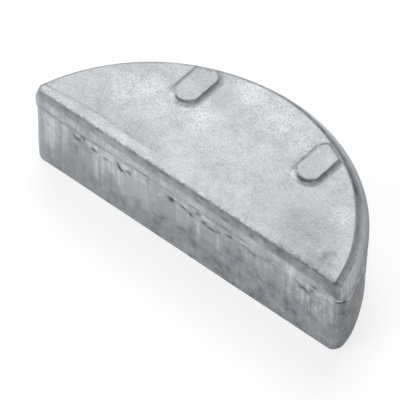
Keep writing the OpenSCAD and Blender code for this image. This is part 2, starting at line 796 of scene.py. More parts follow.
class Relief:
    """Small surface forms of the casting, where its tone is paler or darker, where light and
    shade are painted on it, and where it is smooth.
    """

    def __init__(self, key: KeyCasting, mesh: bpy.types.Mesh) -> None:
        """Reads the skin's points and normals, and tells its walls apart.

        Args:
            key: The casting's sizes and marks.
            mesh: The fused skin.
        """
        self.key = key
        count = len(mesh.vertices)
        flat = np.empty(count * 3)
        mesh.vertices.foreach_get("co", flat)
        self.points = flat.reshape(-1, 3).copy()
        mesh.vertex_normals.foreach_get("vector", flat)
        self.normals = flat.reshape(-1, 3).copy()
        self.x, self.y, self.z = self.points.T
        self.push = np.zeros(count)
        self.traits = {trait: np.zeros(count) for trait in Trait}
        front = smooth_step(0.6, 0.9, -self.normals[:, 1])
        self.straight = front * (1 - smooth_step(8.8, 9.1, np.abs(self.x)))
        self.top = smooth_step(0.75, 0.95, self.normals[:, 2])
        self.under = smooth_step(0.75, 0.95, -self.normals[:, 2])
        self.sides = 1 - np.maximum(self.top, self.under)
        self.turned = self.sides * (1 - self.straight)
        self.below = key.part_z + key.line_lift * self.straight - self.z
        self.face_out = np.hypot(self.x, self.y - key.face_centre_y) - key.face_radius
        self.along = np.degrees(np.arctan2(self.y - key.face_centre_y, self.x))

    def shape(self) -> None:
        """Adds every small form in turn."""
        self.waves()
        self.uneven_edge()
        self.ribbed_side()
        for patch in self.key.patches:
            self.add_patch(patch)
        self.chord_edge()
        self.ribs()
        self.stepped_wall()
        self.parting_line()
        self.drag_marks()
        for mark in self.key.marks:
            self.add_mark(mark)
        self.sloping_edge()
        self.round_wall()
        self.foot()

    def store(self, mesh: bpy.types.Mesh) -> None:
        """Writes the moved points and the surface values to the mesh.

        Args:
            mesh: The fused skin.
        """
        moved = self.points + self.normals * self.push[:, None]
        moved = np.clip(moved, np.array(self.key.low), np.array(self.key.high))
        mesh.vertices.foreach_set("co", moved.ravel())
        for trait, values in self.traits.items():
            layer = mesh.attributes.new(trait.value, "FLOAT", "POINT")
            layer.data.foreach_set("value", np.clip(values, 0, 1).astype(np.float32))
        mesh.update()

    def plain_share(self) -> Array:
        """Says how plain the surface is.

        Returns:
            For each point, from 0 to 1; 1 is the underside and the walls that face away.
        """
        away = smooth_step(0.0, 0.2, self.normals[:, 1] - 0.8 * self.normals[:, 0]) * self.sides
        return np.maximum(self.under, away)

    def add(self, trait: Trait, values: Array) -> None:
        """Adds to one of the surface values."""
        self.traits[trait] += values

    def add_wear_and_light(self, values: Array) -> None:
        """Makes the surface paler, for its own paler marks and for painted light."""
        self.add(Trait.WEAR_AND_LIGHT, values)

    def add_grime_and_shade(self, values: Array) -> None:
        """Makes the surface darker, for its own darker marks and for painted shade."""
        self.add(Trait.GRIME_AND_SHADE, values)

    def noise(self, pattern: Pattern, shift: float = 0.0) -> Array:
        """Random relief at the skin's points.

        Args:
            pattern: Its pattern.
            shift: What is added to the pattern's seed.

        Returns:
            One value from about -1 to 1 for each point.
        """
        size, seed, layers = pattern.value
        return rough(self.points, size, int(seed + shift), layers)

    def waves(self) -> None:
        """Shallow waves that a die leaves all over, and smooth drawn sides."""
        self.push += 0.006 * self.noise(Pattern.WAVES)
        self.push += 0.003 * self.noise(Pattern.FINE_WAVES)
        self.add(Trait.SMOOTH, 0.75 * self.sides + 0.5 * self.under)

    def uneven_edge(self) -> None:
        """The ribbed side's round edge, which runs a little off a true arc."""
        key = self.key
        high = smooth_step(key.part_z + 0.35, key.face_z - 0.3, self.z)
        reach = high * smooth_step(-1.2, -0.1, self.face_out)
        off = key.edge_off * smooth_step(14, 28, self.along)
        off = off * (1 - smooth_step(62, 100, self.along))
        off += sum(swell.at(self.along) for swell in key.edge_swells)
        bulge = key.wall_bulge.at(self.along, bell(self.z - key.bulge_z, 1.15))
        hollow = key.foot_hollow.at(self.along, 1 - smooth_step(0.6, 1.8, self.z))
        away = np.stack([self.x, self.y - key.face_centre_y], 1)
        away /= np.linalg.norm(away, axis=1)[:, None]
        off = off * reach + (bulge - hollow) * self.turned
        self.points[:, :2] += away * off[:, None]
        dip = key.line_dip * smooth_step(-3.8, -2.9, self.y)
        dip = dip * (1 - smooth_step(-1.5, 1.0, self.y))
        near = bell(self.z - key.part_z - 0.05, 0.5) * smooth_step(7.0, 8.2, self.x)
        self.points[:, 2] -= dip * near * self.turned

    def ribbed_side(self) -> None:
        """Fine pocks of the flat side and a faint lip beside the straight wall."""
        key = self.key
        self.push += 0.004 * self.noise(Pattern.POCKS) * self.top
        inward = self.y - key.cap_wall_y
        lip = np.minimum(1.1 + 0.08 * self.x, 0.66) + 0.04 * self.noise(Pattern.GROOVE_PLACE)
        patches = smooth_step(-0.5, 0.4, self.noise(Pattern.GROOVE_GAPS))
        groove = bell(inward - lip, 0.06) * self.top * patches
        left = 1 - 0.75 * smooth_step(-4.5, 0.0, self.x)
        self.push -= 0.012 * groove * left
        self.add_grime_and_shade(0.26 * groove * left)
        strip = (1 - smooth_step(lip - 0.12, lip, inward)) * self.top * left
        cloudy = smooth_step(-0.5, 0.4, self.noise(Pattern.STRIP_CLOUDS))
        self.push += 0.005 * strip
        self.add_wear_and_light(0.16 * strip * cloudy)
        self.add(Trait.SMOOTH, 0.25 * strip)
        warm = smooth_step(0.25, 0.7, self.noise(Pattern.WARM_SPOTS))
        self.add(Trait.STAIN, 0.3 * warm * self.top)

    def add_patch(self, patch: Patch) -> None:
        """Tones one cloudy patch of the ribbed side, with a ragged outline.

        Args:
            patch: The patch.
        """
        away = np.hypot(self.x - patch.x, self.y - patch.y) / patch.reach
        ragged = away + 0.35 * self.noise(Pattern.PATCH_RIM, patch.x * 9)
        tone = patch.tone * (1 - smooth_step(0.1, 1.4, ragged))
        tone = tone * smooth_step(self.key.face_z - 0.1, self.key.face_z - 0.03, self.z)
        self.add(Trait.WEAR_AND_LIGHT if patch.tone > 0 else Trait.GRIME_AND_SHADE, np.abs(tone))

    def chord_edge(self) -> None:
        """The ragged bright edge between the flat side and the straight wall, partly scuffed and
        partly a painted highlight, with painted shade on the wall just under it and a darker strip
        just inside it towards the right.
        """
        key = self.key
        ragged = self.noise(Pattern.CHORD)
        inward = self.y - key.cap_wall_y
        high = smooth_step(key.face_z - 0.05, key.face_z - 0.01, self.z)
        edge = bell(inward, 0.06) * high
        right = smooth_step(3.0, 7.0, self.x)
        self.push += 0.04 * ragged * edge
        # Painted highlight along the edge, partly scuffed metal, less towards the right.
        self.add_wear_and_light(0.9 * edge * smooth_step(-0.4, 0.5, ragged) * (1 - 0.7 * right))
        # Painted highlight on the edge at the left tip.
        tip = 1 - smooth_step(-7.9, -7.3, self.x)
        self.add_wear_and_light(0.8 * tip * bell(inward - 0.02, 0.07) * high)
        # Specks along the edge; the paler ones are partly painted glints.
        specks = self.noise(Pattern.CHORD_SPECKS) * bell(inward - 0.1, 0.13) * high
        self.add_wear_and_light(0.5 * np.maximum(specks, 0))
        self.add_grime_and_shade(0.55 * np.maximum(-specks, 0))
        # Painted shade on the straight wall just under the edge.
        shade = bell(self.z - key.face_z + 0.14, 0.1) * self.straight
        self.add_grime_and_shade(0.22 * shade * smooth_step(-1.2, 0.3, -ragged) * (1 - 0.9 * right))
        strip = bell(inward - 0.12, 0.2) * high
        self.add_grime_and_shade(0.2 * strip * right)

    def ribs(self) -> None:
        """Slightly darker rib tops, painted shade along the feet, rims and inner ends and where the
        ribs meet the sloping edge, painted light on the sides that face right, and a painted glint
        at the inner left end of each.
        """
        key = self.key
        up = self.z - key.face_z
        above = smooth_step(-0.12, -0.02, up)
        to_right = smooth_step(0.1, 0.5, self.normals[:, 0] - 0.4 * self.normals[:, 1])
        self.add_grime_and_shade(0.06 * smooth_step(0.18, 0.2, up))
        for rib in key.ribs:
            start = key.cap_wall_y + rib.start
            sparkle = np.hypot(self.x - rib.x + rib.glint_left, self.y - start - rib.glint_in)
            plain = 1 - bell(sparkle, 0.36)
            away = rib.foot_distance(self.x, self.y, key.cap_wall_y)
            near = bell(away + 0.05, 0.12) * above
            left = smooth_step(0.2, 0.6, rib.x - self.x)
            # Painted shade along the foot, more on its left side.
            foot = bell(away - 0.05, 0.06) * (1 - smooth_step(0.03, 0.09, up)) * above
            self.add_grime_and_shade((0.3 + 0.5 * left) * foot * plain)
            # Painted shade along the top's rim on the right and left.
            rim = bell(up - 0.2, 0.03) * near * plain
            self.add_grime_and_shade(0.1 * rim * np.maximum(to_right, left))
            # Painted light on the sides that face right.
            side = window((0.0, 0.04), (0.15, 0.2), up) * near
            self.add_wear_and_light(1.1 * side * to_right)
            # Painted shade on the inner end, which faces the straight wall.
            inner = smooth_step(0.5, 0.8, -self.normals[:, 1]) * near
            self.add_grime_and_shade(0.5 * inner * smooth_step(-0.4, -0.2, self.x - rib.x))
            # Painted glint at the inner left end.
            self.add_wear_and_light(1.8 * bell(sparkle, 0.26) * near)
            # Painted shade where the rib meets the sloping edge.
            cut = bell(self.face_out + np.maximum(up, 0) + 0.03, 0.05) * smooth_step(0.03, 0.1, up)
            self.add_grime_and_shade(0.3 * cut * (np.abs(self.x - rib.x) < rib.width))

    def stepped_wall(self) -> None:
        """Painted shade on the upright band above the step of the straight wall, partly a darker
        finish of its own, and at the wall's right end, with painted light on the flared wall
        below the band.
        """
        over = self.z - self.key.step_z(self.x) + 0.07 * self.noise(Pattern.BAND_EDGE)
        band = smooth_step(-0.08, 0.1, over)
        fade = 0.85 + 0.2 * self.noise(Pattern.BAND_FADE)
        # Painted shade on the band, partly a darker finish of its own.
        dull = 0.39 + 0.16 * smooth_step(-4, 6, self.x)
        self.add_grime_and_shade(dull * band * self.straight * fade)
        # Painted shade at the right end of the wall above the parting line.
        corner = smooth_step(0.6, 0.88, -self.normals[:, 1]) * smooth_step(7.6, 8.6, self.x)
        above = smooth_step(0.08, 0.2, -self.below) * self.sides
        self.add_grime_and_shade(0.5 * corner * above * (1 - 0.8 * band * self.straight))
        # Painted light on the wall that flares out below the band, in clouds.
        slope = (1 - band) * smooth_step(0.0, 0.15, -self.below) * self.straight
        clouds = smooth_step(-0.6, 0.5, self.noise(Pattern.STEP_CLOUDS))
        clouds = clouds * (1 - 0.5 * smooth_step(1.5, 5, self.x))
        self.add_wear_and_light(0.26 * slope * clouds * (1 - corner))

    def parting_line(self) -> None:
        """The dark uneven line where the two die halves met on the straight wall."""
        wander = 0.11 * self.noise(Pattern.LINE_WANDER)
        line = bell(self.below + wander, 0.06) * self.straight
        depth = np.maximum(0.55 + 0.6 * self.noise(Pattern.LINE_DEPTH), 0.1)
        depth *= 1 - 0.7 * smooth_step(3, 5.5, self.x)
        self.push -= 0.025 * line * depth
        self.add_grime_and_shade(0.6 * line * depth)
        strip = window((0.0, 0.12), (0.5, 1.1), self.below)
        pocks = self.noise(Pattern.LINE_POCKS)
        self.push += 0.016 * pocks * strip * self.straight
        dark = smooth_step(0.25, 0.6, -pocks)
        self.add_grime_and_shade(0.4 * dark * strip * self.straight)
        self.add_wear_and_light(0.3 * smooth_step(0.1, 0.5, pocks) * strip * self.straight)
        warm = bell(self.x - 5.5, 0.8) * bell(self.below - 0.05, 0.3) * self.straight
        self.add(Trait.STAIN, 0.9 * warm * smooth_step(-0.1, 0.4, self.noise(Pattern.LINE_STAIN)))

    def drag_marks(self) -> None:
        """Bright upright drag marks below the parting line, placed and fine."""
        column = np.stack([self.x, 0 * self.x, 0.03 * self.z], 1)
        fine = rough(column, *Pattern.DRAG.value)
        fade = window((0.0, 0.15), (1.3, 3.0), self.below)
        self.push += 0.004 * fine * fade * self.straight
        self.add_wear_and_light(0.22 * smooth_step(-0.1, 0.6, fine) * fade * self.straight)
        place = self.x + 0.04 * self.noise(Pattern.DRAG_PLACE)
        ends = rough(column, *Pattern.DRAG_ENDS.value)
        for streak in self.key.streaks:
            done = np.clip((streak.top - self.z) / (streak.top - streak.bottom), 0, 1)
            half = streak.width * (1 - streak.taper * done)
            across = 1 - smooth_step(0.8, 1.15, np.abs(place - streak.x) / half)
            bottom = streak.bottom + 0.35 * ends
            up = smooth_step(bottom - 0.1, bottom + 0.12, self.z)
            top = streak.top + 0.12 * ends
            down = 1 - smooth_step(top - 0.08, top + 0.08, self.z)
            mark = across * up * down * (0.9 + 0.4 * fine) * self.straight
            self.push -= 0.006 * mark
            trait = Trait.WEAR_AND_LIGHT if streak.strength > 0 else Trait.GRIME_AND_SHADE
            self.add(trait, abs(streak.strength) * mark)
        self.shade_and_soil_wall()

    def shade_and_soil_wall(self) -> None:
        """Painted shade on the straight wall below the parting line, stronger low down, and darker
        also towards the right, with dull clouds of its own tone.
        """
        lower = smooth_step(0.1, 0.3, self.below) * self.straight
        # Painted shade, stronger low down.
        deep = smooth_step(0.8, 2.6, self.below + 0.5 * self.noise(Pattern.SHADE_DEPTH))
        deep = deep * (1 - 0.5 * smooth_step(7.6, 8.5, self.x))
        # Darker towards the right.
        right = smooth_step(-7.5, 8, self.x)
        clouds = smooth_step(-0.1, 0.6, self.noise(Pattern.SOIL_CLOUDS))
        clouds = clouds * (1 - 0.8 * smooth_step(2, 6, self.x))
        self.add_grime_and_shade(lower * (0.26 * deep + 0.26 * right + 0.16 * clouds))

    def add_mark(self, mark: Mark) -> None:
        """Raises one lump or sinks one pit in the straight wall.

        Args:
            mark: The lump or pit.
        """
        ragged = 1 + 0.5 * self.noise(Pattern.MARK_RIM, mark.x * 7)
        bent = 0.035 * self.noise(Pattern.MARK_BEND)
        along = (self.x - mark.x - mark.lean * (self.z - mark.z) + bent) / mark.width
        up = (self.z - mark.z + bent) / mark.height
        form = np.exp(-(along**2 + up**2) * ragged) * self.straight
        self.push += mark.kind.value * mark.depth * form
        if mark.kind is MarkKind.PIT:
            self.add_grime_and_shade(min(1.1, 22 * mark.depth) * form)
        else:
            self.add_wear_and_light(0.8 * form)

    def sloping_edge(self) -> None:
        """The sloping edge around the ribbed side, of a smoother finish, darker along its top,
        partly a finish of its own and partly painted shade that is stronger to the right and back,
        with painted light on its outer part near the right tip.
        """
        key = self.key
        band = smooth_step(-0.04, 0.03, self.face_out)
        band *= 1 - smooth_step(key.edge_width - 0.02, key.edge_width + 0.12, self.face_out)
        band *= smooth_step(key.face_z - 0.45, key.face_z - 0.25, self.z)
        high = smooth_step(22, 48, self.along)
        # Painted shade, stronger to the right and back and darkest along the edge's top.
        inner = 0.02 + 0.3 * smooth_step(40, 62, self.along)
        inner += (0.26 + 0.18 * high) * bell(self.face_out - 0.03 - 0.04 * high, 0.05 + 0.05 * high)
        # Painted light on the outer part near the right tip.
        outer = window((0.08, 0.15), (0.3, 0.42), self.face_out)
        outer = outer * smooth_step(key.face_z - 0.5, key.face_z - 0.3, self.z) * self.turned
        self.add_wear_and_light(0.42 * outer * (1 - high) * smooth_step(6, 8, self.x))
        off_wall = smooth_step(0.02, 0.12, self.y - key.cap_wall_y)
        self.add_grime_and_shade(band * inner * off_wall)
        self.add(Trait.SMOOTH, 0.75 * band)

    def round_wall(self) -> None:
        """The parting line of the round wall, with a painted highlight on its lip near the right
        tip and painted shadow under it; painted shade low on the wall that faces right and on the
        upper wall to the right and back, darker just above the line on the right, and painted
        light on the upper wall at the right tip.
        """
        line = bell(self.below, 0.05) * self.turned
        self.add_grime_and_shade(0.35 * line)
        right = smooth_step(7.5, 8.4, self.x) * self.turned
        self.push += 0.02 * bell(self.below + 0.06, 0.045) * right
        gaps = smooth_step(-0.5, -0.2, self.noise(Pattern.LIP_GAPS))
        # Where the lip gets a painted highlight and a painted shadow under it.
        self.add(Trait.LIP_LIGHT_AND_SHADOW, gaps * right * smooth_step(0.35, 0.6, self.normals[:, 0]))
        self.add(Trait.LEVEL, 0.5 - self.below)
        lower = smooth_step(0.05, 0.2, self.below) * self.turned
        clouds = self.noise(Pattern.ROUND_CLOUDS)
        # Painted shade low on the wall where it faces right, with clouds of its own tone.
        facing = smooth_step(0.45, 1.0, self.normals[:, 0])
        corner = bell(self.y + 3.85, 0.75)
        shaded = 0.13 + 0.62 * facing * smooth_step(5.5, 8.0, self.x) * (1 - 0.4 * corner)
        self.add_grime_and_shade(lower * (shaded + 0.1 * clouds))
        upper = (1 - lower) * self.turned
        # Painted light on the upper wall where it faces right at the right tip.
        pale = self.key.lit_spot.at(self.x, self.y) * smooth_step(0.15, 0.4, -self.below)
        self.add_wear_and_light(0.62 * pale * upper * smooth_step(0.5, 0.8, self.normals[:, 0]))
        near = smooth_step(-0.6, -0.05, self.below) * upper
        self.add_grime_and_shade(0.4 * near * smooth_step(6.5, 8.5, self.x))
        # Painted shade on the upper wall to the right and back.
        self.add_grime_and_shade(0.22 * bell(self.along - 56, 13) * upper)
        for spot in self.key.flash_nicks:
            nick = spot.at(self.x, self.y) * bell(self.below + 0.02, 0.09)
            self.push -= 0.04 * nick * self.turned
            self.add_grime_and_shade(0.9 * nick * self.turned)

    def foot(self) -> None:
        """Painted shade on the rounded edge around the underside, and a darker dot on the corner
        above the right tip.
        """
        low = 1 - smooth_step(0.04, 0.22, self.z)
        # Painted shade along the foot, next to the floor.
        self.add_grime_and_shade(0.35 * low * (1 - self.under))
        high = smooth_step(self.key.face_z - 0.2, self.key.face_z - 0.05, self.z)
        self.add_grime_and_shade(0.55 * self.key.dull_spot.at(self.x, self.y) * high)


def casting_marks() -> list[Mark]:
    """Lists the lumps and pits of the straight wall.

    Returns:
        The marks, the long row from left to right first and those of the right end after it.
    """
    lump = MarkKind.LUMP
    pit = MarkKind.PIT
    return [
        Mark(-6.57, 3.28, 0.06, 0.17, 0.04, pit, -0.3),
        Mark(-6.31, 3.16, 0.16, 0.08, 0.08, pit, -0.5),
        Mark(-6.34, 3.44, 0.13, 0.10, 0.04, lump),
        Mark(-6.46, 2.88, 0.10, 0.08, 0.02, lump),
        Mark(-7.35, 3.44, 0.20, 0.10, 0.02, lump),
        Mark(-7.02, 3.40, 0.12, 0.14, 0.02, lump),
        Mark(-5.80, 3.42, 0.16, 0.10, 0.03, lump),
        Mark(-5.50, 3.38, 0.18, 0.12, 0.04, lump),
        Mark(-5.15, 3.46, 0.14, 0.12, 0.04, lump),
        Mark(-5.38, 3.13, 0.18, 0.06, 0.05, pit, -0.6),
        Mark(-4.64, 3.05, 0.18, 0.06, 0.06, pit, -0.6),
        Mark(-4.26, 3.26, 0.16, 0.14, 0.04, lump),
        Mark(-3.84, 3.14, 0.08, 0.18, 0.05, pit, -0.4),
        Mark(-3.48, 3.40, 0.20, 0.20, 0.04, lump),
        Mark(-3.66, 2.97, 0.16, 0.08, 0.06, pit, -0.8),
        Mark(-3.30, 3.16, 0.12, 0.06, 0.04, pit),
        Mark(-2.40, 3.24, 0.18, 0.12, 0.03, lump),
        Mark(-1.37, 3.16, 0.18, 0.16, 0.04, lump),
        Mark(-0.68, 3.22, 0.20, 0.16, 0.08, pit),
        Mark(-0.44, 3.48, 0.12, 0.10, 0.03, lump),
        Mark(0.02, 3.24, 0.14, 0.08, 0.05, pit, -0.8),
        Mark(0.49, 3.03, 0.16, 0.08, 0.05, pit, -0.8),
        Mark(0.30, 3.47, 0.18, 0.12, 0.04, lump),
        Mark(1.40, 3.39, 0.36, 0.18, 0.04, lump),
        Mark(1.26, 3.07, 0.13, 0.09, 0.05, pit),
        Mark(1.76, 2.99, 0.26, 0.06, 0.06, pit),
        Mark(2.42, 3.38, 0.22, 0.18, 0.04, lump),
        Mark(2.82, 3.32, 0.20, 0.07, 0.04, pit),
        Mark(3.64, 3.30, 0.16, 0.10, 0.02, pit),
        Mark(7.18, 3.14, 0.10, 0.06, 0.05, pit, -0.8),
        Mark(7.42, 3.02, 0.12, 0.06, 0.05, pit, -0.8),
        Mark(7.75, 3.60, 0.20, 0.05, 0.05, pit),
        Mark(7.60, 2.42, 0.03, 0.60, 0.03, pit),
        Mark(8.03, 3.08, 0.10, 0.04, 0.03, pit),
        Mark(8.14, 2.88, 0.04, 0.12, 0.03, pit),
        Mark(8.02, 2.50, 0.04, 0.08, 0.01, pit),
        Mark(8.12, 2.15, 0.03, 0.10, 0.01, pit),
        Mark(7.45, 3.34, 0.14, 0.14, 0.03, lump),
        Mark(8.05, 3.36, 0.20, 0.12, 0.03, lump),
        Mark(8.22, 2.70, 0.10, 0.10, 0.02, lump),
        Mark(7.92, 2.30, 0.08, 0.12, 0.02, lump),
    ]


def drag_streaks() -> list[Streak]:
    """Lists the drag marks of the straight wall.

    Returns:
        The marks, from left to right.
    """
    return [
        Streak(-8.30, 3.50, 1.55, 0.18, 0.72, 0.1),
        Streak(-7.94, 3.55, 0.85, 0.20, 0.85, 0.25),
        Streak(-7.85, 4.10, 3.78, 0.28, 0.35),
        Streak(-7.35, 4.08, 3.80, 0.20, -0.16),
        Streak(-7.43, 2.55, 2.38, 0.15, -0.2),
        Streak(-7.42, 2.05, 1.10, 0.08, 0.30, 0.6),
        Streak(-7.11, 3.40, 1.50, 0.19, 0.58, 0.2),
        Streak(-6.58, 2.65, 2.15, 0.34, -0.22),
        Streak(-6.06, 2.80, 2.15, 0.12, 0.35, 0.3),
        Streak(-5.30, 2.95, 1.35, 0.21, 0.52, 0.3),
        Streak(-4.84, 2.90, 1.00, 0.15, 0.55, 0.8),
        Streak(-4.30, 3.00, 2.25, 0.24, 0.55, 0.3),
        Streak(-3.80, 2.85, 1.70, 0.13, 0.45, 0.4),
        Streak(-1.66, 2.92, 1.60, 0.14, 0.30),
        Streak(0.94, 2.90, 1.90, 0.20, 0.30),
        Streak(2.14, 2.95, 1.70, 0.14, 0.35),
        Streak(6.36, 3.95, 2.05, 0.34, 0.60, 0.8),
        Streak(7.10, 3.45, 1.75, 0.32, 0.42, 0.2),
        Streak(7.50, 2.90, 1.90, 0.08, 0.30),
        Streak(7.90, 3.40, 2.70, 0.14, 0.30),
        Streak(8.45, 3.50, 1.60, 0.12, 0.30, 0.5),
        Streak(8.80, 3.45, 1.20, 0.09, 0.50, 0.5),
        Streak(9.05, 3.30, 1.00, 0.07, 0.45, 0.5),
    ]


def cloudy_patches() -> list[Patch]:
    """Lists the pale and dull patches of the ribbed side.

    Returns:
        The patches, roughly from left to right.
    """
    return [
        Patch(-7.00, -2.90, 1.0, -0.05),
        Patch(-7.00, -1.30, 0.8, -0.03),
        Patch(-5.80, -1.10, 0.9, 0.26),
        Patch(-5.00, -0.10, 0.7, 0.36),
        Patch(-4.10, -2.70, 0.8, -0.14),
        Patch(-3.70, -0.90, 0.9, 0.22),
        Patch(-2.20, -0.30, 1.0, 0.36),
        Patch(-2.10, 1.30, 0.7, -0.10),
        Patch(-1.40, 2.60, 0.8, 0.36),
        Patch(0.60, 2.00, 1.1, 0.38),
        Patch(0.20, -0.60, 1.3, 0.12),
        Patch(2.60, 1.60, 0.8, 0.20),
        Patch(4.60, -1.60, 1.5, -0.14),
        Patch(6.60, -0.70, 0.6, 0.34),
        Patch(6.30, -1.80, 0.6, 0.12),
        Patch(6.20, -2.60, 1.5, -0.24),
        Patch(7.70, -3.30, 1.1, -0.38),
    ]


# Finish


class NodeBench:
    """A node tree, with short ways to add its nodes."""

    def __init__(self, tree: bpy.types.NodeTree) -> None:
        """Takes the tree that the nodes go into."""
        self.tree = tree

    def link(self, source: Socket, target: Socket) -> None:
        """Joins two sockets."""
        self.tree.links.new(source, target)

    def fill(self, node: bpy.types.Node, inputs: dict) -> None:
        """Sets a node's inputs.

        Args:
            node: The node.
            inputs: For each input's name or index, a socket to join or a value.
        """
        for name, value in inputs.items():
            if isinstance(value, Socket):
                self.link(value, node.inputs[name])
            else:
                node.inputs[name].default_value = value

    def node(self, kind: str, inputs: dict | None = None, operation: str = "") -> bpy.types.Node:
        """Adds a node.

        Args:
            kind: Its type, without the leading ShaderNode.
            inputs: What goes into it, as for fill.
            operation: What a math node works out.

        Returns:
            The node.
        """
        node = self.tree.nodes.new(f"ShaderNode{kind}")
        if operation:
            node.operation = operation
        self.fill(node, inputs or {})
        return node

    def ramp(self, value: Socket, span: tuple, to: tuple) -> Socket:
        """Maps a value's span to another span, held at both ends.

        Args:
            value: The value.
            span: The two ends of its span.
            to: What they become, as numbers or sockets.

        Returns:
            The mapped value.
        """
        ends = zip(("From Min", "From Max", "To Min", "To Max"), (*span, *to))
        return self.node("MapRange", {"Value": value, **dict(ends)}).outputs["Result"]

    def math(self, operation: str, first: Socket, second: Socket | float) -> Socket:
        """Adds a math node on a socket and a socket or number."""
        return self.node("Math", {0: first, 1: second}, operation).outputs[0]


class MaterialBench(NodeBench):
    """The node tree of a new material."""

    def __init__(self, name: str) -> None:
        """Makes a material with one main shader.

        Args:
            name: The material's name.
        """
        self.material = bpy.data.materials.new(name)
        self.material.use_nodes = True
        super().__init__(self.material.node_tree)
        self.shader = self.tree.nodes["Principled BSDF"]
        self.place = self.node("TexCoord").outputs["Object"]

    def noise(
        self, per_metre: float, detail: float, share: float, upright: float = 1.0
    ) -> Socket:
        """Adds a noise pattern over the object.

        Args:
            per_metre: How many of its cells fit in a metre.
            detail: How many finer layers it has.
            share: How strong each finer layer is.
            upright: Scale along Z; less than 1 draws the pattern out upright.

        Returns:
            Its value, from 0 to 1.
        """
        stretch = self.node("Mapping", {"Vector": self.place, "Scale": (1.0, 1.0, upright)})
        inputs = {"Scale": per_metre, "Detail": detail, "Roughness": share}
        inputs["Vector"] = stretch.outputs["Vector"]
        return self.node("TexNoise", inputs).outputs["Fac"]

    def blend(self, share: Socket, first: Socket, second: Socket) -> Socket:
        """Mixes two colours.

        Args:
            share: The second one's share.
            first: The first colour.
            second: The second colour.

        Returns:
            The mixed colour.
        """
        node = self.node("Mix")
        node.data_type = "RGBA"
        self.fill(node, {0: share, 6: first, 7: second})
        return node.outputs[2]

    def between(self, share: Socket, first: Socket, second: Socket) -> Socket:
        """Mixes two numbers by the second one's share."""
        return self.node("Mix", {0: share, 2: first, 3: second}).outputs[0]

    def tinted(self, colour: Triple, tone: Socket) -> Socket:
        """Multiplies a fixed colour by a varying tone."""
        return self.node("VectorMath", {0: colour, "Scale": tone}, "SCALE").outputs["Vector"]

    def trait(self, trait: Trait) -> Socket:
        """Reads one of the casting's surface values.

        Args:
            trait: Which one.

        Returns:
            Its value.
        """
        node = self.node("Attribute")
        node.attribute_name = trait.value
        return node.outputs["Fac"]

    def grey(self, tone: float) -> Socket:
        """Gives a plain grey.

        Args:
            tone: Its brightness.

        Returns:
            The colour.
        """
        node = self.node("RGB")
        node.outputs[0].default_value = (tone, tone, tone, 1)
        return node.outputs[0]

    def bump(self, height: Socket, distance: float, strength: float) -> Socket:
        """Turns a height pattern into a surface direction."""
        inputs = {"Strength": strength, "Distance": distance, "Height": height}
        return self.node("Bump", inputs).outputs["Normal"]


